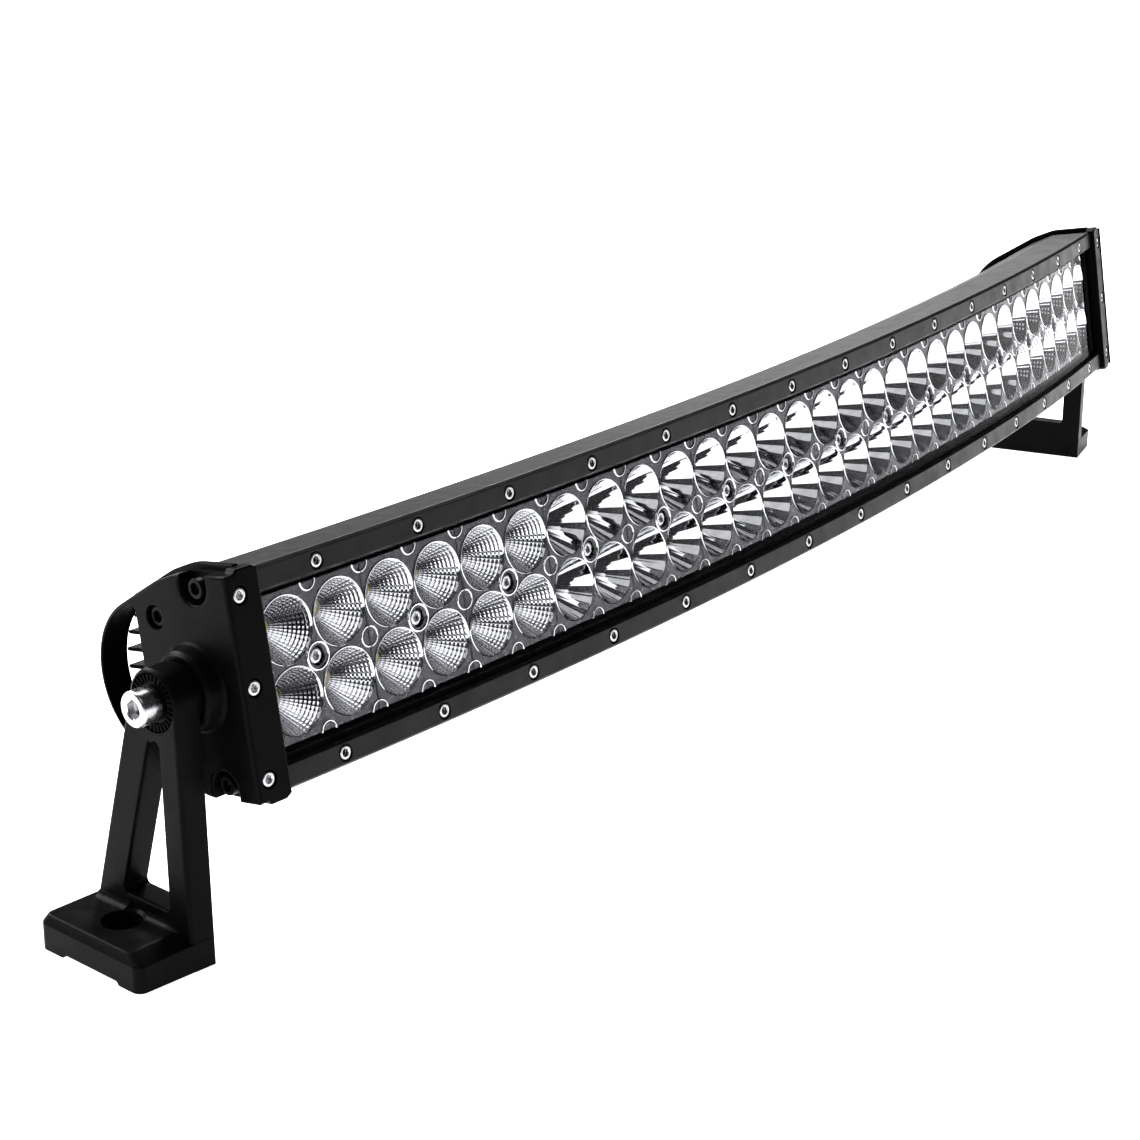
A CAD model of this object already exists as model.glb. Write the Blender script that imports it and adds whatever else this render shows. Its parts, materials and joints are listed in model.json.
"""Curved LED light bar on two cast legs: the looks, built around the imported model."""
import json
import math
import bmesh
import bpy
from mathutils import Matrix, Vector


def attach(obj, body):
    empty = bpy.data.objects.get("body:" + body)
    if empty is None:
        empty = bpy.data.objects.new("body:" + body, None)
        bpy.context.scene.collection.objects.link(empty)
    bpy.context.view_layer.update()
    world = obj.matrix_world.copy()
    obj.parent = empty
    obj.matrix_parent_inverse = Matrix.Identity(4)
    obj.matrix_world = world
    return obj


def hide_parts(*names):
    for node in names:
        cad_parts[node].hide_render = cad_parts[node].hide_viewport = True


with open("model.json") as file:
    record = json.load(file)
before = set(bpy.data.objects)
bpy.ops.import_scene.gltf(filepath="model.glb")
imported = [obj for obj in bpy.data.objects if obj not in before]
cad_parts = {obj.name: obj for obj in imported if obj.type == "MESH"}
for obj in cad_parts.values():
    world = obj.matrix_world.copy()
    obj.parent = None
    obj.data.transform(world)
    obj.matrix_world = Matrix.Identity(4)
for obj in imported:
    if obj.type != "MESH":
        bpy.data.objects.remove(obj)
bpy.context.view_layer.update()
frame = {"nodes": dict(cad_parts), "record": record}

# ---- Sizes in millimetres, in the bar's own frame ----
# x runs along the bar, y is the depth behind the bezel's face, z is up. Halves are measured from the middle.
BAR_RADIUS = 2329
CUP_PITCH = 25.4
MODULES = 15
MODULE_W = 2 * CUP_PITCH
FLOOD_MODULES = 3  # at each end; the ones between them have spot cups
BOARDS = 5
END_S = MODULES * MODULE_W / 2 + 19  # along the arc, from the middle to the face of a cap
SWEEP_STEP = 6.5

# End caps
CAP_T = 11.6
CAP_FRONT = -3
CAP_HALF = 39.6
CAP_ROUND_R = 29.2
FLANGE_PROUD = 2
SHOULDER_DEPTH = 22
BEND_DEPTH = 34
BEND_HALF = 36.3
SCREW_Z = 34.5
FACE_SCREW_DEPTH = 36.5
FACE_SCREW_Z = 23.5
NOTCH_DEPTH = 14
CAP_SCREWS = ((FACE_SCREW_DEPTH, FACE_SCREW_Z), (FACE_SCREW_DEPTH, -FACE_SCREW_Z),
              (NOTCH_DEPTH, SCREW_Z), (NOTCH_DEPTH, -SCREW_Z))
PIVOT_DEPTH = 21
BOSS_R = 15
BOSS_H = 6
TOOTH_R = 11

# Front: bezels, trims, lens, reflectors
TRIM_W = 14.4
TRIM_INNER = END_S - 1.6 - TRIM_W
TRIM_SCREW_X = -6.8
TRIM_SCREWS_Z = (-32, 0, 32)
BEZEL_T = 2.2
BEZEL_HALF = 39.4
WINDOW_HALF = 30
LENS_T = 3
LENS_HALF = 31.3
PLATE_DEPTH = 7
PLATE_HALF = 27.0
BOARD_DEPTH = 21.4

# Housing
HOUSING_END = END_S - CAP_T - 1
HOUSING_HALF = 39
LEDGE_DEPTH = 6.8
LEDGE_HALF = 31.4
BAY_DEPTH = 23
BAY_HALF = 28.6
FIN_ROOT = 45
FIN_PITCH = 6.4
FIN_T = 1.5
BACK_DEPTH = 71.6
ROUND_MID = 43.8
GLAND_DEPTH = FIN_ROOT + 2
GLAND_ROOM = 14  # the middle fins stop this far from the gland
VENT_S = 60
VENT_ROOM = 12

# Legs, measured from the pivot; FOOT_TOP and ARCH_TOP are above the mounting plane
LEG_INNER = 8.2
LEG_OUTER = 18.5
HEAD_R = 12
FACE_TOOTH_R = 10.4
REAR_LEAN = 15.8  # degrees
FRONT_LEAN = 1.5  # degrees
FOOT_TOP = 14
FOOT_REACH = 41.7
FOOT_FRONT = -14.4
FOOT_BACK = 39.5
ARCH_TOP = 2.6

# ---- Frames ----
MM = Matrix.Scale(0.001, 4)
joints = {j["name"]: j for j in frame["record"]["behaviour"]["joints"]}
pivot = Vector(joints["right_leg_pivot"]["pos_m"]) * 1000
pivot_axis = Vector(joints["right_leg_pivot"]["axis"])
lens_tilt = math.atan2(-pivot_axis.z, pivot_axis.y)
end_angle = END_S / BAR_RADIUS
leg_swing = math.atan(math.tan(lens_tilt) / math.cos(end_angle))
pivot_bar_y = BAR_RADIUS - (BAR_RADIUS - PIVOT_DEPTH) * math.cos(end_angle)
BAR = (Matrix.Translation((0, pivot.y, pivot.z)) @ Matrix.Rotation(-lens_tilt, 4, "X")
       @ Matrix.Translation((0, -pivot_bar_y, 0)))
FLIP = Matrix.Scale(-1, 4, Vector((1, 0, 0)))


def on_arc(s, depth=0.0, z=0.0):
    """Frame on the curved bar: +X follows it to the right, +Y points into it, +Z is up."""
    return (BAR @ Matrix.Translation((0, BAR_RADIUS, 0)) @ Matrix.Rotation(s / BAR_RADIUS, 4, "Z")
            @ Matrix.Translation((0, depth - BAR_RADIUS, z)))


def end_frame(side):
    """Frame of an end cap's face, mirrored for the left end: +X points out of the bar."""
    right = on_arc(END_S)
    return right if side == "right" else FLIP @ right


def leg_frame(side):
    """Frame of a leg: origin on the pivot, +X out of the cap, +Y back, +Z up."""
    return end_frame(side) @ Matrix.Translation((0, PIVOT_DEPTH, 0)) @ Matrix.Rotation(leg_swing, 4, "X")


# Turned parts are drawn along +Y; this lays them along -X, into the end of the bar
INTO_END = Matrix(((0, -1, 0, 0), (1, 0, 0, 0), (0, 0, 1, 0), (0, 0, 0, 1)))


# ---- Mesh helpers ----
def finish_mesh(bm, sharp=30):
    """Merges doubles, points the faces outwards and marks the sharp edges."""
    bmesh.ops.remove_doubles(bm, verts=bm.verts, dist=1e-5)
    bmesh.ops.recalc_face_normals(bm, faces=bm.faces)
    limit = math.radians(sharp)
    for face in bm.faces:
        face.smooth = True
    for edge in bm.edges:
        edge.smooth = len(edge.link_faces) == 2 and edge.calc_face_angle(0) < limit


def add_piece(name, bm, materials, nodes=(), body="light_bar", place=None, sharp=30):
    """Turns a millimetre bmesh into a piece in metres that rides on a body."""
    finish_mesh(bm, sharp)
    mesh = bpy.data.meshes.new(name)
    bm.transform(MM)
    bm.to_mesh(mesh)
    bm.free()
    return add_object(name, mesh, materials, nodes, body, place)


def add_object(name, mesh, materials, nodes=(), body="light_bar", place=None):
    obj = bpy.data.objects.new(name, mesh)
    bpy.context.scene.collection.objects.link(obj)
    if not mesh.materials:
        for material in materials:
            mesh.materials.append(material)
    if place is not None:
        obj.matrix_world = MM @ place @ MM.inverted()
    shading = obj.modifiers.new("even_shading", "WEIGHTED_NORMAL")
    shading.keep_sharp = True
    shading.weight = 100
    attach(obj, body)
    if nodes:
        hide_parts(*nodes)
    return obj


def join(target, source, matrix=None, material=0):
    """Adds a copy of one bmesh to another, moved by a matrix."""
    made = {}
    matrix = matrix or Matrix.Identity(4)
    for vert in source.verts:
        made[vert] = target.verts.new(matrix @ vert.co)
    for face in source.faces:
        new = target.faces.new([made[v] for v in face.verts])
        new.material_index = material or face.material_index
    return target


def rounded(points, radii, steps=4):
    """Outline with each corner replaced by an arc of its own radius."""
    out = []
    count = len(points)
    if not hasattr(radii, "__len__"):
        radii = [radii] * count
    for i, radius in enumerate(radii):
        here = Vector(points[i])
        to_last = (Vector(points[i - 1]) - here).normalized()
        to_next = (Vector(points[(i + 1) % count]) - here).normalized()
        if radius <= 0:
            out.append(here)
            continue
        half = to_last.angle(to_next) / 2
        mid = here + (to_last + to_next).normalized() * radius / math.sin(half)
        start = here + to_last * radius / math.tan(half) - mid
        stop = here + to_next * radius / math.tan(half) - mid
        turn = math.atan2(start.x * stop.y - start.y * stop.x, start.dot(stop))
        for k in range(steps + 1):
            a = turn * k / steps
            out.append(mid + Vector((start.x * math.cos(a) - start.y * math.sin(a),
                                     start.x * math.sin(a) + start.y * math.cos(a))))
    return out


def circle(x, y, r, n=48):
    return [Vector((x + r * math.cos(2 * math.pi * i / n), y + r * math.sin(2 * math.pi * i / n)))
            for i in range(n)]


def fill(bm, loops):
    """Flat face between an outer loop of vertices and any holes in it."""
    edges = []
    for loop in loops:
        for i, vert in enumerate(loop):
            other = loop[(i + 1) % len(loop)]
            edges.append(bm.edges.get((vert, other)) or bm.edges.new((vert, other)))
    bmesh.ops.triangle_fill(bm, use_beauty=True, use_dissolve=False, edges=edges)


def skin(bm, stations):
    """Quads between matching closed loops of vertices."""
    for first, second in zip(stations, stations[1:]):
        count = len(first)
        for i in range(count):
            j = (i + 1) % count
            bm.faces.new((first[i], first[j], second[j], second[i]))


def prism(loops, low, high, to_xyz):
    """Straight extrusion of an outline with holes. to_xyz maps (a, b, height) to a point."""
    bm = bmesh.new()
    ends = [[[bm.verts.new(to_xyz(p[0], p[1], h)) for p in loop] for loop in loops] for h in (low, high)]
    for bottom, top in zip(*ends):
        skin(bm, [bottom, top])
    for loops_at_end in ends:
        fill(bm, loops_at_end)
    return bm


def inset(loop, distance):
    """Moves an outline's points inwards along their corners' bisectors. Negative moves them outwards."""
    pts = [Vector(p) for p in loop]
    if not distance:
        return pts
    area = sum(a.x * b.y - b.x * a.y for a, b in zip(pts, pts[1:] + pts[:1]))
    turn = distance if area > 0 else -distance
    out = []
    for i, here in enumerate(pts):
        before = (here - pts[i - 1]).normalized()
        after = (pts[(i + 1) % len(pts)] - here).normalized()
        first, second = Vector((-before.y, before.x)), Vector((-after.y, after.x))
        out.append(here + (first + second) * turn / (1 + first.dot(second)))
    return out


def layered(loops, profile, to_xyz):
    """Solid from an outline with holes.

    Each step of the profile is (height, inset of the outline, inset of the holes).
    """
    bm = bmesh.new()
    levels = []
    for height, outer, holes in profile:
        shapes = [inset(loops[0], outer)] + [inset(hole, -holes) for hole in loops[1:]]
        levels.append([[bm.verts.new(to_xyz(p[0], p[1], height)) for p in shape] for shape in shapes])
    for k in range(len(loops)):
        skin(bm, [level[k] for level in levels])
    fill(bm, levels[0])
    fill(bm, levels[-1])
    return bm


def rounded_top(low, high, outer, holes=0.0, steps=3):
    """Profile of a straight wall whose upper edges are rounded."""
    arc = [math.pi / 2 * k / steps for k in range(steps + 1)]
    top = max(outer, holes)
    return [(low, 0, 0)] + [(high - top * (1 - math.sin(a)), outer * (1 - math.cos(a)),
                             holes * (1 - math.cos(a))) for a in arc]


def sweep(loops, s0, s1, step=SWEEP_STEP):
    """Outline in (depth, height), with holes, swept along the bar."""
    bm = bmesh.new()
    count = max(1, round((s1 - s0) / step))
    frames = [on_arc(s0 + (s1 - s0) * i / count) for i in range(count + 1)]
    rings = [[[bm.verts.new(f @ Vector((0, p[0], p[1]))) for p in loop] for loop in loops] for f in frames]
    for k in range(len(loops)):
        skin(bm, [ring[k] for ring in rings])
    fill(bm, rings[0])
    fill(bm, rings[-1])
    return bm


def hex_radius(angle, flats):
    """Distance from the middle of a hexagon to its side, in a given direction."""
    return flats / 2 / math.cos((angle + math.pi / 6) % (math.pi / 3) - math.pi / 6)


def turned(rings, n=48):
    """Part turned about +Y. Each ring is (y, radius), or (y, flats, "hex"), or a function of the angle."""
    bm = bmesh.new()
    stations = []
    for ring in rings:
        verts = []
        for i in range(n):
            a = 2 * math.pi * i / n
            if callable(ring):
                y, r = ring(a)
            elif len(ring) == 3:
                y, r = ring[0], hex_radius(a, ring[1])
            else:
                y, r = ring
            verts.append(bm.verts.new((r * math.cos(a), y, r * math.sin(a))))
        stations.append(verts)
    skin(bm, stations)
    bm.faces.new(stations[0])
    bm.faces.new(stations[-1])
    return bm


def round_ring(ring_r, tube_r, n=48, m=10, start=0.0, stop=2 * math.pi):
    """Ring of round section about +Y, or an arc of one with closed ends."""
    bm = bmesh.new()
    whole = stop - start > 2 * math.pi - 1e-6
    steps = n if whole else max(6, round(n * (stop - start) / (2 * math.pi)))
    stations = []
    for i in range(steps if whole else steps + 1):
        a = start + (stop - start) * i / steps
        stations.append([bm.verts.new(((ring_r + tube_r * math.cos(b)) * math.cos(a), tube_r * math.sin(b),
                                       (ring_r + tube_r * math.cos(b)) * math.sin(a)))
                         for b in (2 * math.pi * k / m for k in range(m))])
    skin(bm, stations + [stations[0]] if whole else stations)
    if not whole:
        bm.faces.new(stations[0])
        bm.faces.new(stations[-1])
    return bm


def combine(bm, cutters, operation):
    """Boolean of a bmesh with others, by Blender's exact solver."""
    def temporary(source):
        mesh = bpy.data.meshes.new("temporary")
        bmesh.ops.recalc_face_normals(source, faces=source.faces)
        source.to_mesh(mesh)
        source.free()
        obj = bpy.data.objects.new("temporary", mesh)
        bpy.context.scene.collection.objects.link(obj)
        return obj
    body = temporary(bm)
    tools = [temporary(cutter) for cutter in cutters]
    for tool in tools:
        modifier = body.modifiers.new("combine", "BOOLEAN")
        modifier.operation = operation
        modifier.solver = "EXACT"
        modifier.object = tool
    depsgraph = bpy.context.evaluated_depsgraph_get()
    result = bmesh.new()
    result.from_object(body, depsgraph)
    for obj in [body] + tools:
        mesh = obj.data
        bpy.data.objects.remove(obj)
        bpy.data.meshes.remove(mesh)
    return result


# ---- Materials ----
def new_material(name):
    material = bpy.data.materials.new(name)
    material.use_nodes = True
    tree = material.node_tree
    return material, tree, tree.nodes["Principled BSDF"]


def noise(tree, scale, detail=2.0, roughness=0.5):
    """Noise texture in the object's own coordinates; scale is in waves per metre."""
    where = tree.nodes.new("ShaderNodeTexCoord")
    node = tree.nodes.new("ShaderNodeTexNoise")
    node.inputs["Scale"].default_value = scale
    node.inputs["Detail"].default_value = detail
    node.inputs["Roughness"].default_value = roughness
    tree.links.new(where.outputs["Object"], node.inputs["Vector"])
    return node.outputs["Fac"]


def spread(tree, value, low, high, start=0.3, stop=0.7):
    """Maps a texture's values to a range."""
    node = tree.nodes.new("ShaderNodeMapRange")
    node.inputs["From Min"].default_value = start
    node.inputs["From Max"].default_value = stop
    node.inputs["To Min"].default_value = low
    node.inputs["To Max"].default_value = high
    tree.links.new(value, node.inputs["Value"])
    return node.outputs["Result"]


def blend_colours(tree, value, first, second, start=0.35, stop=0.65):
    node = tree.nodes.new("ShaderNodeValToRGB")
    node.color_ramp.elements[0].position = start
    node.color_ramp.elements[0].color = (*first, 1)
    node.color_ramp.elements[1].position = stop
    node.color_ramp.elements[1].color = (*second, 1)
    tree.links.new(value, node.inputs["Fac"])
    return node.outputs["Color"]


def bump(tree, shader, layers):
    """Chains bump layers of (value, strength, height in metres) into a shader's normal."""
    last = None
    for value, strength, height in layers:
        node = tree.nodes.new("ShaderNodeBump")
        node.inputs["Strength"].default_value = strength
        node.inputs["Distance"].default_value = height
        tree.links.new(value, node.inputs["Height"])
        if last is not None:
            tree.links.new(last, node.inputs["Normal"])
        last = node.outputs["Normal"]
    tree.links.new(last, shader.inputs["Normal"])


def coated(name, dark, light, rough, grain, depth, gloss):
    """Black coating: grain is the texture's size in waves per metre."""
    material, tree, shader = new_material(name)
    tree.links.new(blend_colours(tree, noise(tree, 55, 4, 0.6), dark, light), shader.inputs["Base Color"])
    tree.links.new(spread(tree, noise(tree, 140, 3), rough - 0.05, rough + 0.07), shader.inputs["Roughness"])
    shader.inputs["Specular IOR Level"].default_value = gloss
    bump(tree, shader, [(noise(tree, grain, 3, 0.6), 0.5, depth), (noise(tree, grain / 6, 2), 0.25, depth)])
    return material


def metal(name, colour, rough, grain=900, depth=0.000004):
    material, tree, shader = new_material(name)
    shader.inputs["Metallic"].default_value = 1.0
    tint = tuple(c * 0.86 for c in colour)
    tree.links.new(blend_colours(tree, noise(tree, 300, 3), tint, colour), shader.inputs["Base Color"])
    tree.links.new(spread(tree, noise(tree, 500, 4), rough * 0.7, rough * 1.4), shader.inputs["Roughness"])
    bump(tree, shader, [(noise(tree, grain, 2), 0.35, depth)])
    return material


def soft_plastic(name, dark, light, rough, grain=700, depth=0.00002):
    material, tree, shader = new_material(name)
    tree.links.new(blend_colours(tree, noise(tree, 90, 4), dark, light), shader.inputs["Base Color"])
    tree.links.new(spread(tree, noise(tree, 260, 3), rough - 0.06, rough + 0.08), shader.inputs["Roughness"])
    bump(tree, shader, [(noise(tree, grain, 3), 0.4, depth)])
    return material


def clear_lens(name):
    """Polished polycarbonate that lets the lamps light what is behind it."""
    material, tree, shader = new_material(name)
    shader.inputs["Base Color"].default_value = (0.985, 0.99, 1.0, 1)
    shader.inputs["Transmission Weight"].default_value = 1.0
    shader.inputs["Roughness"].default_value = 0.0
    shader.inputs["IOR"].default_value = 1.04
    path = tree.nodes.new("ShaderNodeLightPath")
    through = tree.nodes.new("ShaderNodeBsdfTransparent")
    mix = tree.nodes.new("ShaderNodeMixShader")
    tree.links.new(path.outputs["Is Shadow Ray"], mix.inputs["Fac"])
    tree.links.new(shader.outputs["BSDF"], mix.inputs[1])
    tree.links.new(through.outputs["BSDF"], mix.inputs[2])
    tree.links.new(mix.outputs["Shader"], tree.nodes["Material Output"].inputs["Surface"])
    return material


def phosphor(name):
    material, tree, shader = new_material(name)
    colour = blend_colours(tree, noise(tree, 2500, 2), (0.80, 0.58, 0.08), (0.95, 0.78, 0.22))
    tree.links.new(colour, shader.inputs["Base Color"])
    shader.inputs["Roughness"].default_value = 0.25
    shader.inputs["Coat Weight"].default_value = 1.0
    shader.inputs["Coat Roughness"].default_value = 0.03
    return material


def circuit_board(name, mask, copper):
    """Solder mask with a faint pattern of tracks under it."""
    material, tree, shader = new_material(name)
    where = tree.nodes.new("ShaderNodeTexCoord")
    tracks = tree.nodes.new("ShaderNodeTexBrick")
    tracks.inputs["Scale"].default_value = 120
    tracks.inputs["Mortar Size"].default_value = 0.03
    tracks.inputs["Color1"].default_value = (*mask, 1)
    tracks.inputs["Color2"].default_value = (*(c * 0.93 for c in mask), 1)
    tracks.inputs["Mortar"].default_value = (*copper, 1)
    tree.links.new(where.outputs["Object"], tracks.inputs["Vector"])
    tree.links.new(tracks.outputs["Color"], shader.inputs["Base Color"])
    shader.inputs["Roughness"].default_value = 0.35
    bump(tree, shader, [(tracks.outputs["Fac"], 0.2, 0.00003)])
    return material


# coated: name, dark and light colour, roughness, grain, depth of the grain in metres, gloss
powder = coated("powder_coat", (0.012, 0.012, 0.0135), (0.018, 0.018, 0.020), 0.38, 1500, 0.00005, 0.22)
cast = coated("cast_coat", (0.0028, 0.0028, 0.0032), (0.0048, 0.0048, 0.0054), 0.36, 900, 0.0001, 0.06)
black_steel = coated("black_steel", (0.003, 0.003, 0.003), (0.006, 0.006, 0.006), 0.34, 2500, 0.00001, 0.12)
stainless = metal("stainless", (0.60, 0.60, 0.62), 0.24)
chrome = metal("mirror_coat", (0.90, 0.90, 0.92), 0.055, grain=260, depth=0.000006)
plate_chrome = metal("mirror_plate", (0.10, 0.10, 0.105), 0.3, grain=500, depth=0.000006)
silicone = soft_plastic("silicone", (0.010, 0.010, 0.010), (0.018, 0.018, 0.018), 0.62)
nylon = soft_plastic("nylon", (0.014, 0.014, 0.014), (0.024, 0.024, 0.024), 0.45)
lens_clear = clear_lens("lens_clear")
yellow = phosphor("phosphor")
ceramic = soft_plastic("ceramic", (0.78, 0.78, 0.75), (0.88, 0.88, 0.86), 0.4)
board_white = circuit_board("board_white", (0.82, 0.82, 0.79), (0.72, 0.70, 0.62))
board_green = circuit_board("board_green", (0.02, 0.16, 0.07), (0.05, 0.25, 0.11))


# ---- Housing, bezels, lens ----
def touch_angle(radius):
    """Where the slope behind the roof touches the round back, as an angle about the round's middle."""
    away = Vector((BEND_DEPTH - ROUND_MID, BEND_HALF))
    return math.atan2(away.y, away.x) - math.acos(radius / away.length)


def fin_tip(z):
    r = BACK_DEPTH - ROUND_MID
    return ROUND_MID + math.sqrt(r * r - z * z)


def make_housing():
    top = touch_angle(CAP_ROUND_R)
    slope = (BEND_HALF - CAP_ROUND_R * math.sin(top)) / (ROUND_MID + CAP_ROUND_R * math.cos(top) - BEND_DEPTH)
    root_half = BEND_HALF - 1 - slope * (FIN_ROOT - BEND_DEPTH)
    half = [(BEZEL_T, HOUSING_HALF), (SHOULDER_DEPTH, HOUSING_HALF), (BEND_DEPTH, BEND_HALF - 1),
            (FIN_ROOT, root_half)]
    outline = half + [(d, -z) for d, z in reversed(half)]
    outer = rounded(outline, [0.5, 6, 12, 1, 1, 12, 6, 0.5], 5)
    # One stepped hollow, open to the front: lens recess, then the bay of the reflectors
    front = [(BEZEL_T, -LEDGE_HALF), (LEDGE_DEPTH, -LEDGE_HALF), (LEDGE_DEPTH, -BAY_HALF),
             (BAY_DEPTH, -BAY_HALF), (BAY_DEPTH, BAY_HALF), (LEDGE_DEPTH, BAY_HALF),
             (LEDGE_DEPTH, LEDGE_HALF), (BEZEL_T, LEDGE_HALF)]
    section = outer + [Vector(p) for p in front]
    chamber = rounded([(27, -17), (41, -17), (41, 17), (27, 17)], 1.5)
    bm = sweep([section, chamber], -HOUSING_END, HOUSING_END)
    for i in range(-4, 5):
        z = i * FIN_PITCH
        tip = fin_tip(z)
        fin = rounded([(FIN_ROOT - 1, z - FIN_T / 2), (tip, z - FIN_T / 2 + 0.1), (tip, z + FIN_T / 2 - 0.1),
                       (FIN_ROOT - 1, z + FIN_T / 2)], [0, 0.5, 0.5, 0], 3)
        # The middle fins stop short of the gland and the vent
        gaps = [(-GLAND_ROOM, GLAND_ROOM), (VENT_S - VENT_ROOM, VENT_S + VENT_ROOM)]
        breaks = gaps if abs(z) < GLAND_ROOM else []
        starts = [-HOUSING_END] + [b for _, b in breaks]
        stops = [a for a, _ in breaks] + [HOUSING_END]
        for s0, s1 in zip(starts, stops):
            join(bm, sweep([fin], s0, s1))
    # Round pads under the gland and the vent
    for s, raised, r in ((0, 2, 12), (VENT_S, 1, 11)):
        pad = turned([(FIN_ROOT - 1, r + 0.6), (FIN_ROOT + raised - 0.4, r), (FIN_ROOT + raised, r - 0.4)])
        join(bm, pad, on_arc(s))
    add_piece("housing_shell", bm, [powder], ["housing"])


def each_module():
    return [on_arc((i - (MODULES - 1) / 2) * MODULE_W) for i in range(MODULES)]


def make_bezel(name, sign):
    outline = [(0, WINDOW_HALF + 0.9), (0, BEZEL_HALF - 1.1), (1.1, BEZEL_HALF), (BEZEL_T, BEZEL_HALF),
               (BEZEL_T, WINDOW_HALF), (1.2, WINDOW_HALF)]
    section = rounded([(d, sign * z) for d, z in outline], [0.3, 0.4, 0.4, 0.1, 0.1, 0.3], 3)
    bm = sweep([section], -TRIM_INNER + 0.2, TRIM_INNER - 0.2)
    cutter = bmesh.new()
    recess = [(-2, 3.5), (0.0, 3.45), (0.25, 3.1), (1.5, 3.1)]
    for spot in each_module():
        join(cutter, turned(recess), spot @ Matrix.Translation((0, 0, sign * SCREW_Z)))
    bm = combine(bm, [cutter], "DIFFERENCE")
    add_piece(name, bm, [powder], [name.replace("_strip", "")])


def make_lens():
    back = BEZEL_T + LENS_T
    corners = [(BEZEL_T, -LENS_HALF), (back, -LENS_HALF), (back, LENS_HALF), (BEZEL_T, LENS_HALF)]
    section = rounded(corners, 0.3, 2)
    bm = sweep([section], 2 - HOUSING_END, HOUSING_END - 2, 3.3)
    add_piece("lens_sheet", bm, [lens_clear], ["lens"])


# ---- Reflectors and LEDs ----
CUP_MOUTH = 12.45  # radius outside the rolled lip
CUP_WALL = 11.8  # radius at the top of the wall
CUP_THROAT = 3.4
CUP_BULGE = 0.35
FACETS = 40  # round a flood cup
ROUND_STEPS = 48


def cup_radius(t):
    """Radius of the cup at t, from its mouth (0) to its throat (1)."""
    return CUP_WALL + t * (CUP_THROAT - CUP_WALL) + CUP_BULGE * math.sin(math.pi * t)


def cup_rings(surface, rows, split):
    """Rings from the plate over the lip and down the cup, as functions of the angle.

    surface(a, v, r) is how far the wall bulges inwards, where v runs from -1 to 1 across each row.
    """
    lip = [(CUP_MOUTH, 0), (12.38, -0.28), (12.2, -0.42), (11.98, -0.34), (11.82, -0.1)]
    rings = [lambda a, r=r, y=y: (PLATE_DEPTH + y, r) for r, y in lip]
    depth = BOARD_DEPTH - PLATE_DEPTH - 0.2
    for k in range(rows * split + 1):
        t = k / (rows * split)

        def ring(a, t=t, v=k % split / split * 2 - 1):
            lift = surface(a, v, cup_radius(t))
            return PLATE_DEPTH + t * depth - lift * 0.5, cup_radius(t) - lift
        rings.append(ring)
    return rings


def flood_facets(a, v, r):
    """Pillow facets in FACETS columns."""
    u = a / (2 * math.pi) * FACETS % 1 * 2 - 1
    return 0.008 * r * (1 - u ** 2) + 0.075 * (1 - v ** 2)


def spot_waves(a, v, r):
    """Faint waves round the wall, which streak its reflections."""
    return 0.0022 * r * (math.cos(13 * a) + 0.7 * math.cos(29 * a + 1))


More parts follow.
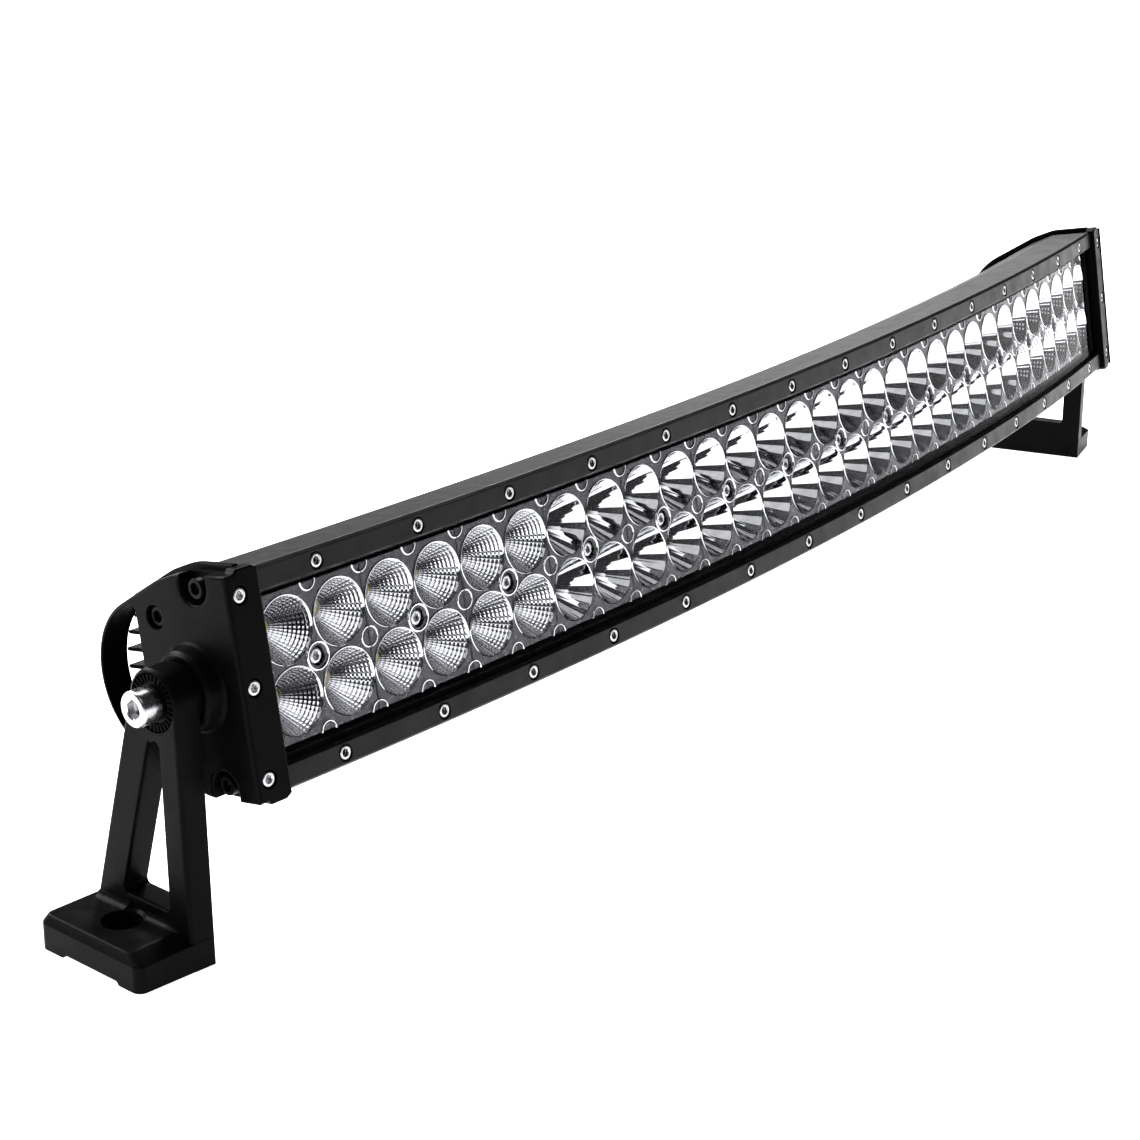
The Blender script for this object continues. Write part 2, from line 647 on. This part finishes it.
def make_reflector_mesh(name, flood):
    n = FACETS * 3 if flood else 144
    bm = bmesh.new()
    half_w, half_h = MODULE_W / 2 - 0.3, PLATE_HALF
    corners = [(-half_w, -half_h), (half_w, -half_h), (half_w, half_h), (-half_w, half_h)]
    edge = 0.35
    front = [bm.verts.new((x - math.copysign(edge, x), PLATE_DEPTH, z - math.copysign(edge, z)))
             for x, z in corners]
    side = [bm.verts.new((x, PLATE_DEPTH + edge, z)) for x, z in corners]
    back = [bm.verts.new((x, BOARD_DEPTH, z)) for x, z in corners]
    skin(bm, [front, side, back])
    rings = cup_rings(flood_facets, 10, 3) if flood else cup_rings(spot_waves, 6, 1)
    mouths, throats = [], []
    plate_faces = set(bm.faces)
    for cx in (-CUP_PITCH / 2, CUP_PITCH / 2):
        for cz in (-CUP_PITCH / 2, CUP_PITCH / 2):
            stations = []
            for ring in rings:
                verts = []
                for i in range(n):
                    a = 2 * math.pi * i / n
                    y, r = ring(a)
                    verts.append(bm.verts.new((cx + r * math.cos(a), y, cz + r * math.sin(a))))
                stations.append(verts)
            throat = [bm.verts.new((v.co.x, BOARD_DEPTH, v.co.z)) for v in stations[-1]]
            stations.append(throat)
            skin(bm, stations)
            mouths.append(stations[0])
            throats.append(throat)
    cup_faces = set(bm.faces) - plate_faces
    # Counterbored hole for the screw in the middle
    well = []
    for y, r in ((PLATE_DEPTH, 3.6), (PLATE_DEPTH + 0.4, 3.25), (PLATE_DEPTH + 4.5, 3.2),
                 (PLATE_DEPTH + 4.5, 1.6), (BOARD_DEPTH, 1.6)):
        turns = [2 * math.pi * i / ROUND_STEPS for i in range(ROUND_STEPS)]
        well.append([bm.verts.new((r * math.cos(a), y, r * math.sin(a))) for a in turns])
    skin(bm, well)
    fill(bm, [front] + mouths + [well[0]])
    fill(bm, [back] + throats + [well[-1]])
    for face in bm.faces:
        face.material_index = 0 if face in cup_faces else 1
    # Raised rings: round the screw, half rings at the seams and along the top and bottom edges
    level = Matrix.Translation((0, PLATE_DEPTH, 0))
    join(bm, round_ring(4.9, 0.55), level)
    for x in (-half_w, half_w):
        start = -math.pi / 2 if x < 0 else math.pi / 2
        join(bm, round_ring(3.6, 0.4, start=start, stop=start + math.pi),
             Matrix.Translation((x, 0, 0)) @ level)
    for sign in (-1, 1):
        start = 0.0 if sign < 0 else math.pi
        join(bm, round_ring(3.4, 0.45, start=start, stop=start + math.pi),
             Matrix.Translation((0, 0, sign * half_h)) @ level)
        for x in (-half_w, half_w):
            begin = {(-1, -1): 0.0, (1, -1): math.pi / 2, (1, 1): math.pi, (-1, 1): 1.5 * math.pi}[
                (int(math.copysign(1, x)), sign)]
            join(bm, round_ring(3.4, 0.45, start=begin, stop=begin + math.pi / 2),
                 Matrix.Translation((x, 0, sign * half_h)) @ level)
    finish_mesh(bm, 12 if flood else 40)
    mesh = bpy.data.meshes.new(name)
    bm.transform(MM)
    bm.to_mesh(mesh)
    bm.free()
    return mesh


def make_reflectors():
    flood = make_reflector_mesh("flood_block", True)
    spot = make_reflector_mesh("spot_block", False)
    for mesh in (flood, spot):
        mesh.materials.append(chrome)
        mesh.materials.append(plate_chrome)
    for i, place in enumerate(each_module()):
        wide = i < FLOOD_MODULES or i >= MODULES - FLOOD_MODULES
        kind = "flood" if wide else "spot"
        add_object(f"reflector_{kind}_{i + 1:02d}", flood if wide else spot, [],
                   [f"reflector_{i + 1:02d}"], place=place)


def make_leds():
    package = bmesh.new()
    size = 1.75
    base = prism([rounded([(-size, -size), (size, -size), (size, size), (-size, size)], 0.2, 2)],
                 BOARD_DEPTH, BOARD_DEPTH - 0.8, lambda a, b, h: (a, h, b))
    join(package, base)
    dome = turned([(BOARD_DEPTH - 0.7, 1.5)] + [(BOARD_DEPTH - 0.8 - 1.35 * math.sin(t), 1.5 * math.cos(t))
                                               for t in (math.radians(k) for k in range(0, 86, 12))], 32)
    join(package, dome, material=1)
    bm = bmesh.new()
    for place in each_module():
        for x in (-CUP_PITCH / 2, CUP_PITCH / 2):
            for z in (-CUP_PITCH / 2, CUP_PITCH / 2):
                join(bm, package, place @ Matrix.Translation((x, 0, z)))
    package.free()
    add_piece("led_packages", bm, [ceramic, yellow], ["led_chips"])


# ---- Screws ----
def socket_screw(front, seat, head_r, shank_r, tip, flats, socket):
    """Cap screw along +Y with a hexagon socket. front, seat and tip are depths."""
    return turned([(front + socket + 0.5, flats * 0.35), (front + socket, flats, "hex"),
                   (front + 0.25, flats, "hex"), (front + 0.02, flats / 2 + 0.3), (front, flats / 2 + 0.42),
                   (front, head_r - 0.42), (front + 0.12, head_r - 0.14), (front + 0.42, head_r),
                   (seat, head_r), (seat, shank_r), (tip - 0.5, shank_r), (tip, shank_r - 0.4)])


def make_screws():
    small = socket_screw(0.1, 1.9, 2.6, 1.5, 14, 2.5, 1.3)
    for name, sign in (("bezel_screws_top", 1), ("bezel_screws_bottom", -1)):
        bm = bmesh.new()
        for place in each_module():
            join(bm, small, place @ Matrix.Translation((0, 0, sign * SCREW_Z)))
        add_piece(name + "_turned", bm, [stainless], [name])
    small.free()
    deep = socket_screw(PLATE_DEPTH + 0.9, PLATE_DEPTH + 4.4, 2.9, 1.5, 26, 2.5, 1.6)
    bm = bmesh.new()
    for place in each_module():
        join(bm, deep, place)
    deep.free()
    add_piece("reflector_screws_turned", bm, [stainless], ["reflector_screws"])
    for side in ("left", "right"):
        trim = socket_screw(CAP_FRONT + 0.9, 0.2, 2.7, 1.5, 11, 2.5, 1.5)
        bm = bmesh.new()
        for z in TRIM_SCREWS_Z:
            join(bm, trim, end_frame(side) @ Matrix.Translation((TRIM_SCREW_X, 0, z)))
        trim.free()
        add_piece(f"end_trim_screws_{side}_turned", bm, [stainless],
                  [f"end_trim_screws_{side}"])
        bm = bmesh.new()
        for depth, z in CAP_SCREWS:
            screw = socket_screw(1.4, 5 if depth == FACE_SCREW_DEPTH else 6, 3.6, 2.5, 27, 4, 2.2)
            join(bm, screw, end_frame(side) @ Matrix.Translation((0, depth, z)) @ INTO_END)
            screw.free()
        add_piece(f"end_cap_screws_{side}_turned", bm, [black_steel],
                  [f"end_cap_screws_{side}"])
        bolt = turned([(3.6, 2.2), (3.2, 6, "hex"), (0.5, 6, "hex"), (0.06, 3.7), (0, 3.95), (0, 5.75),
                       (0.25, 6.15), (0.75, 6.45), (1.0, 6.5), (7.6, 6.5), (8.0, 6.2), (8.0, 4.0),
                       (36, 4.0), (36.4, 3.6)], 72)
        start = LEG_OUTER + 8.3
        place = end_frame(side) @ Matrix.Translation((start, PIVOT_DEPTH, 0)) @ INTO_END
        bm = join(bmesh.new(), bolt, place)
        bolt.free()
        add_piece(f"pivot_bolt_{side}_turned", bm, [stainless], [f"pivot_bolt_{side}"])


# ---- End caps and trims ----
def cap_outline(proud=0.0, notches=False):
    """Cap's outline in (depth, height), from the front of its top round the back."""
    r = CAP_ROUND_R + proud
    top = touch_angle(CAP_ROUND_R)
    arc = [(ROUND_MID + r * math.cos(a), r * math.sin(a)) for a in (top * (1 - k / 14) for k in range(29))]
    half = CAP_HALF + proud
    roof = rounded([(CAP_FRONT, half), (SHOULDER_DEPTH, half), (BEND_DEPTH, BEND_HALF + proud), arc[0]],
                   [0, 30, 30, 0], 6)[:-1]
    if notches:
        floor = [(NOTCH_DEPTH - 6.5 * math.cos(t), 35.5 - 6.5 * math.sin(t))
                 for t in (math.pi * k / 12 for k in range(13))]
        last = next(i for i, p in enumerate(roof) if p[0] > 20.6)
        roof = [roof[0], (7.5, half)] + floor + [(20.5, half)] + list(roof[last:])
    return [Vector(p) for p in roof + arc + [(p[0], -p[1]) for p in reversed(roof)]]


def crescent_outline():
    """Window that shows the fins: a round segment with rounded corners."""
    r = CAP_ROUND_R - 1.9
    start = FIN_ROOT + 2
    a0 = math.acos((start - ROUND_MID) / r)
    arc = [(ROUND_MID + r * math.cos(a), r * math.sin(a))
           for a in (a0 * 0.88 * (1 - k / 14) for k in range(29))]
    corner = (start, r * math.sin(a0))
    return rounded([(start, -corner[1]), corner] + arc, [2.4, 2.4] + [0] * len(arc), 5)


def end_plane(a, b, h):
    """Lays an outline in (depth, height) into the plane of an end cap."""
    return (h, a, b)


def crown(bm):
    """Lets the cap's face fall away gently on both sides of the line above the boss."""
    for depth in (-1, 2, 8, 14, 18, 21, 23.5, 26, 28.5, 31, 34, 40, 50, 60):
        bmesh.ops.bisect_plane(bm, geom=bm.verts[:] + bm.edges[:] + bm.faces[:], plane_co=(0, depth, 0),
                               plane_no=(0, 1, 0), dist=1e-5)
    for vert in bm.verts:
        past = vert.co.y - 26
        fall = 0.012 * past if past > 0 else 0.03 * past * past / (abs(past) + 5)
        if vert.co.x > -3:
            vert.co.x -= abs(fall) * (vert.co.x + 3) / 3


def make_cap(side):
    place = end_frame(side)
    crescent = crescent_outline()
    bore = circle(PIVOT_DEPTH, 0, 6, 40)
    pockets = [circle(FACE_SCREW_DEPTH, z, 4.2, 40) for z in (-FACE_SCREW_Z, FACE_SCREW_Z)]
    outer = layered([cap_outline(notches=True), crescent, bore] + pockets,
                    rounded_top(-6, 0, 1.2, 0.5), end_plane)
    crown(outer)
    holes = [circle(FACE_SCREW_DEPTH, z, 2.6, 32) for z in (-FACE_SCREW_Z, FACE_SCREW_Z)]
    inner = layered([cap_outline(), crescent, bore] + holes, [(-CAP_T, 0, 0), (-5.9, 0, 0)], end_plane)
    flange = layered([cap_outline(FLANGE_PROUD), crescent, bore] + holes,
                     [(-CAP_T, 0.5, 0), (0.5 - CAP_T, 0, 0), (2.2 - CAP_T, 0, 0), (2.75 - CAP_T, 0.25, 0),
                      (3 - CAP_T, 0.8, 0)], end_plane)
    bm = bmesh.new()
    # Room for the trim at the front of the cap
    for shell in (outer, inner, flange):
        room = prism([[(CAP_FRONT - 1, -50), (BEZEL_T, -50), (BEZEL_T, 50), (CAP_FRONT - 1, 50)]],
                     -CAP_T - 1, -1.4, end_plane)
        part = combine(shell, [room], "DIFFERENCE")
        join(bm, part)
        part.free()
    boss = turned([(-1, 4.2), (-BOSS_H - 2.6, 4.2), (-BOSS_H - 2.6, TOOTH_R), (-BOSS_H + 0.3, TOOTH_R),
                   (-BOSS_H, TOOTH_R + 0.6), (-BOSS_H, BOSS_R - 2.2), (-BOSS_H + 0.9, BOSS_R - 1.0),
                   (-BOSS_H + 1.6, BOSS_R - 0.7), (-1.4, BOSS_R - 0.1), (-0.5, BOSS_R + 0.3),
                   (0.3, BOSS_R + 1.4), (0.9, BOSS_R + 1.4)], 96)
    join(bm, boss, Matrix.Translation((0, PIVOT_DEPTH, 0)) @ INTO_END)
    boss.free()
    bm.transform(place)
    add_piece(f"end_cap_{side}_casting", bm, [cast], [f"end_cap_{side}"])


def make_trim(side):
    low, high = -BEZEL_HALF - 1.6, BEZEL_HALF + 1.6
    x0, x1 = -TRIM_W - 1.6, -1.6
    corners = [(x0, low + 1.4), (x0 + 2.6, low), (x1 - 5, low), (x1 - 4, low + 1.4), (x1, low + 1.4),
               (x1, high - 1.4), (x1 - 4, high - 1.4), (x1 - 5, high), (x0 + 2.6, high), (x0, high - 1.4)]
    outline = rounded(corners, [0.6, 0.6, 0.4, 0.4, 0.8, 0.8, 0.4, 0.4, 0.6, 0.6], 3)
    holes = [circle(TRIM_SCREW_X, z, 3.2, 40) for z in TRIM_SCREWS_Z]
    profile = [(-h, a, b) for h, a, b in rounded_top(-BEZEL_T, -CAP_FRONT - 0.6, 0.8, 0.3)]
    bm = layered([outline] + holes, profile, lambda a, b, h: (a, h, b))
    bm.transform(end_frame(side))
    add_piece(f"end_trim_{side}_cover", bm, [cast], [f"end_trim_{side}"])


# ---- Legs ----
def tooth_ring(inner, outer, base, height, teeth=36):
    """Radial teeth about +Y, pointing towards -Y."""
    bm = bmesh.new()
    n = teeth * 4
    rows = []
    for r, rise in ((inner, 0.0), (inner + 0.3, 1.0), (outer - 0.3, 1.0), (outer, 0.0)):
        row = []
        for i in range(n):
            a = 2 * math.pi * i / n
            up = height if i % 4 in (1, 2) else 0.0
            row.append(bm.verts.new((r * math.cos(a), base - up * rise, r * math.sin(a))))
        rows.append(row)
    foot = [[bm.verts.new((v.co.x, base + 0.6, v.co.z)) for v in row] for row in (rows[-1], rows[0])]
    skin(bm, rows + foot + [rows[0]])
    return bm


def make_foot(sole, top, reach, front, back):
    """Foot beside the plate: a gentle slope along its front, narrow ones along its outer side and back."""
    bm = bmesh.new()

    def ring(h, drop_front, drop_side, shrink):
        # The ring at height h, drawn in by the two drops
        pts = rounded([(LEG_INNER + 0.3, front + drop_front), (reach - drop_side, front + drop_front),
                       (reach - drop_side, back - drop_side), (LEG_INNER + 0.3, back - drop_side)],
                      [0.5, 3.5 - shrink, 4 - shrink, 0.5], 8)
        return [bm.verts.new((p.x, p.y, h)) for p in pts]
    levels = [ring(sole, 0, 0, 0), ring(top - 3.4, 0, 0, 0), ring(top - 3.1, 0.1, 0.05, 0.1),
              ring(top - 2.8, 0.45, 0.2, 0.3), ring(top - 0.35, 6.3, 1.75, 1.2), ring(top - 0.1, 7.0, 2.1, 1.4),
              ring(top, 7.8, 2.7, 1.8)]
    skin(bm, levels)
    fill(bm, [levels[0]])
    fill(bm, [levels[-1]])
    return bm


def make_fillet(foot_top, front, back):
    """Hollow rounding between the plate's outer face and the top of the foot, fading out at both ends."""
    bm = bmesh.new()

    def section(a, r):
        arc = [(LEG_OUTER + r * (1 - math.sin(t)), foot_top + r * (1 - math.cos(t)))
               for t in [math.pi / 2 * k / 8 for k in range(9)]]
        low = [(LEG_OUTER - 1, foot_top + r), (LEG_OUTER - 1, foot_top - 1), (LEG_OUTER + r, foot_top - 1)]
        return [bm.verts.new(end_plane(a, b, h)) for h, b in arc + low]
    steps = ((front, 0.5), (front + 2, 1.9), (front + 4.5, 2.8), (front + 7, 3),
             (back - 3, 3), (back - 1.2, 2.6), (back, 1.6))
    stations = [section(a, r) for a, r in steps]
    skin(bm, stations)
    fill(bm, [stations[0]])
    fill(bm, [stations[-1]])
    return bm


def make_leg(side):
    mount = next(m for m in frame["record"]["mounts"] if m["name"] == "foot_bolts")
    bolt_x = mount["dims"]["spacing_x_mm"] / 2
    hole_r = mount["dims"]["hole_r_mm"]
    lean, front_lean = math.radians(REAR_LEAN), math.radians(FRONT_LEAN)
    # The leg reaches 3 mm below the mounting plane before it is cut flat on it
    sole, foot_top = -pivot.z - 3, FOOT_TOP - pivot.z
    back_at = (HEAD_R - (foot_top + 1) * math.sin(lean)) / math.cos(lean)
    front_at = (-HEAD_R + sole * math.sin(front_lean)) / math.cos(front_lean)
    a0, a1 = math.pi - front_lean, lean
    turns = [a0 + (a1 - a0) * k / 30 for k in range(31)]
    head = [(HEAD_R * math.cos(a), HEAD_R * math.sin(a)) for a in turns]
    outline = [Vector(p) for p in head + [(back_at, foot_top + 1), (back_at + 1.5, foot_top - 2),
                                          (back_at + 1.5, sole), (front_at, sole)]]
    window = rounded([(-1.7, 3), (20.9, foot_top + 6), (-3.6, foot_top + 6)], [3, 2, 2], 6)
    bm = layered([outline, window], rounded_top(LEG_INNER, LEG_OUTER, 1.7, 0.7, 4), end_plane)
    foot = make_foot(sole, foot_top, FOOT_REACH, FOOT_FRONT, FOOT_BACK)
    arch_top = ARCH_TOP - pivot.z
    corners = [(-4.6, sole - 1), (28, sole - 1), (26.4, arch_top), (-3, arch_top)]
    arch = prism([rounded(corners, [0, 0, 1.5, 1.5])], 30, 60, end_plane)
    bm = combine(bm, [foot, make_fillet(foot_top, -8.5, back_at - 0.4)], "UNION")
    recess = turned([(-8.9, 13.0), (0, 13.0)], 72)
    recess.transform(INTO_END)
    bore = turned([(-30, 4.1), (0, 4.1)], 48)
    bore.transform(INTO_END)
    seat = turned([(-30, FACE_TOOTH_R + 0.2), (-LEG_OUTER + 0.9, FACE_TOOTH_R + 0.2)], 72)
    seat.transform(INTO_END)
    bm = combine(bm, [recess, bore, seat, arch], "DIFFERENCE")
    bm.transform(leg_frame(side))
    sign = 1 if side == "right" else -1
    upright = Matrix.Translation((sign * bolt_x, 0, 0)) @ Matrix.Rotation(-math.pi / 2, 4, "X")
    pocket = turned([(-17.4, 8.3), (-14.4, 8.3), (-13.2, 7.3), (-6.2, 7.2), (-6, 6.9)], 72)
    pocket.transform(upright)
    hole = turned([(-30, hole_r), (5, hole_r)], 48)
    hole.transform(upright)
    below = prism([[(-600, -200), (600, -200), (600, 200), (-600, 200)]], -40, 0, lambda a, b, h: (a, b, h))
    bm = combine(bm, [pocket, hole, below], "DIFFERENCE")
    teeth = tooth_ring(7.2, FACE_TOOTH_R, 0, 0.75, 30)
    join(bm, teeth, leg_frame(side) @ Matrix.Translation((LEG_OUTER - 0.9, 0, 0)) @ INTO_END)
    teeth.free()
    add_piece(f"leg_{side}_casting", bm, [cast], [f"leg_{side}"], body=f"{side}_leg")


# ---- Cable gland and vent ----
def make_gland():
    def at(ring, n=72):
        return join(bmesh.new(), turned(ring, n), on_arc(0))
    y = GLAND_DEPTH
    bore = 3.6
    body = at([(37, bore), (37, 6), (y, 6), (y, 17, "hex"), (y + 3.4, 17, "hex"), (y + 4, 16, "hex"),
               (y + 4, 7), (y + 11, 7), (y + 11, bore)])
    add_piece("cable_gland_body_moulded", body, [nylon], ["cable_gland_body"])
    seal = at([(y + 6, bore), (y + 6, 5), (y + 12.4, 5), (y + 12.4, bore)])
    add_piece("cable_gland_seal_moulded", seal, [silicone], ["cable_gland_seal"])

    def ribbed(depth, r):
        return lambda a: (depth, r - 0.45 * (1 if round(a / (2 * math.pi) * 72) % 6 < 2 else 0))
    nut = at([(y + 5, 7.1), ribbed(y + 5, 9), ribbed(y + 12.6, 9), (y + 13.4, 8.5), (y + 16, 7.4),
              (y + 17, 6.4), (y + 17, bore + 0.4), (y + 16.6, bore), (y + 11, bore)])
    add_piece("cable_gland_nut_moulded", nut, [nylon], ["cable_gland_nut"])
    d = FIN_ROOT + 1

    def notched(depth, r):
        return lambda a: (depth, r - 0.9 * (1 if round(a / (2 * math.pi) * 72) % 12 < 3 else 0))
    vent = turned([(39, 4), (d, 4), (d, 7.6), notched(d + 0.8, 8), notched(d + 4.4, 8), (d + 5.2, 7.2),
                   (d + 5.9, 6.2), (d + 6.1, 4), (d + 5.6, 3.4)], 72)
    bm = join(bmesh.new(), vent, on_arc(VENT_S))
    add_piece("breather_vent_moulded", bm, [nylon], ["breather_vent"])


# ---- CAD nodes that stay, with their materials ----
def dress(node, material):
    obj = frame["nodes"][node]
    for slot_here in obj.material_slots:
        slot_here.material = material
    if not obj.material_slots:
        obj.data.materials.append(material)


make_housing()
make_bezel("bezel_top_strip", 1)
make_bezel("bezel_bottom_strip", -1)
make_lens()
make_reflectors()
make_leds()
make_screws()
for end in ("left", "right"):
    make_cap(end)
    make_trim(end)
    make_leg(end)
    dress(f"end_gasket_{end}", silicone)
    dress(f"pivot_insert_{end}", stainless)
    dress(f"driver_board_{end}", board_green)
make_gland()
dress("lens_gasket", silicone)
for i in range(1, BOARDS + 1):
    dress(f"led_board_{i}", board_white)


# ---- Camera ----
CAMERA_AT = Vector((-1026.8, -525.0, 212.7))
CAMERA_TURN = (0.9817, -0.2195, -0.1302)  # azimuth, elevation and roll in radians
FOCAL_LENGTH = 81.77


def make_camera():
    """Camera of the main view, placed in the bar's own frame."""
    azimuth, elevation, roll = CAMERA_TURN
    ahead = Vector((math.sin(azimuth) * math.cos(elevation), math.cos(azimuth) * math.cos(elevation),
                    math.sin(elevation)))
    right = ahead.cross(Vector((0, 0, 1))).normalized()
    up = right.cross(ahead)
    right, up = (right * math.cos(roll) + up * math.sin(roll),
                 up * math.cos(roll) - right * math.sin(roll))
    data = bpy.data.cameras.new("camera")
    data.lens = FOCAL_LENGTH
    data.sensor_width = 36
    data.clip_end = 100
    camera = bpy.data.objects.new("camera", data)
    bpy.context.scene.collection.objects.link(camera)
    turn = Matrix((right, up, -ahead)).transposed().to_4x4()
    place = BAR @ Matrix.Translation(CAMERA_AT) @ turn
    place.translation *= 0.001
    camera.matrix_world = place
    bpy.context.scene.camera = camera


# ---- Floor and light ----
FLOOR_HALF = 30000
FLOOR_Z = -0.3  # just under the soles
# Name, position and target in metres, width, height, power in watts
SOFTBOXES = (
    ("overhead", (0.2, 0.9, 2.4), (0, 0.1, 0), 3.0, 0.8, 30),
    ("behind", (-0.4, 2.6, 1.6), (0, 0, 0.1), 3.0, 1.2, 130),
    ("behind_right", (2.7, 1.2, 2.1), (0, 0, 0.1), 1.4, 0.9, 80),
    ("front_left", (-2.0, -1.0, 2.6), (-0.2, 0, 0.1), 2.0, 1.5, 5),
)


def make_floor():
    bm = bmesh.new()
    half = FLOOR_HALF
    corners = [bm.verts.new((x, y, FLOOR_Z))
               for x, y in ((-half, -half), (half, -half), (half, half), (-half, half))]
    bm.faces.new(corners)
    mesh = bpy.data.meshes.new("floor")
    bm.transform(MM)
    bm.to_mesh(mesh)
    bm.free()
    floor = bpy.data.objects.new("floor", mesh)
    bpy.context.scene.collection.objects.link(floor)
    material, tree, shader = new_material("floor_paint")
    colour = blend_colours(tree, noise(tree, 3, 3), (0.86, 0.86, 0.86), (0.9, 0.9, 0.9))
    tree.links.new(colour, shader.inputs["Base Color"])
    shader.inputs["Roughness"].default_value = 0.9
    shader.inputs["Specular IOR Level"].default_value = 0.1
    shader.inputs["Emission Color"].default_value = (1, 1, 1, 1)
    shader.inputs["Emission Strength"].default_value = 0.88
    mesh.materials.append(material)


def add_softbox(name, position, target, width, height, power):
    data = bpy.data.lights.new(name, "AREA")
    data.shape = "RECTANGLE"
    data.size = width
    data.size_y = height
    data.energy = power
    light = bpy.data.objects.new(name, data)
    light.location = position
    light.rotation_euler = (Vector(target) - Vector(position)).to_track_quat("-Z", "Y").to_euler()
    bpy.context.scene.collection.objects.link(light)


def make_light():
    """A dim room that brightens towards the horizon, and soft boxes above, behind and beside the bar."""
    world = bpy.data.worlds.new("studio")
    world.use_nodes = True
    tree = world.node_tree
    where = tree.nodes.new("ShaderNodeTexCoord")
    split = tree.nodes.new("ShaderNodeSeparateXYZ")
    ramp = tree.nodes.new("ShaderNodeValToRGB")
    tree.links.new(where.outputs["Generated"], split.inputs["Vector"])
    tree.links.new(split.outputs["Z"], ramp.inputs["Fac"])
    ramp.color_ramp.elements[0].position = 0.0
    ramp.color_ramp.elements[0].color = (1, 1, 1, 1)
    ramp.color_ramp.elements[1].position = 0.06
    ramp.color_ramp.elements[1].color = (0.045, 0.045, 0.045, 1)
    tree.links.new(ramp.outputs["Color"], tree.nodes["Background"].inputs["Color"])
    bpy.context.scene.world = world
    for softbox in SOFTBOXES:
        add_softbox(*softbox)
    bpy.context.scene.view_settings.view_transform = "Standard"
    bpy.context.scene.view_settings.look = "Medium High Contrast"


make_camera()
make_floor()
make_light()
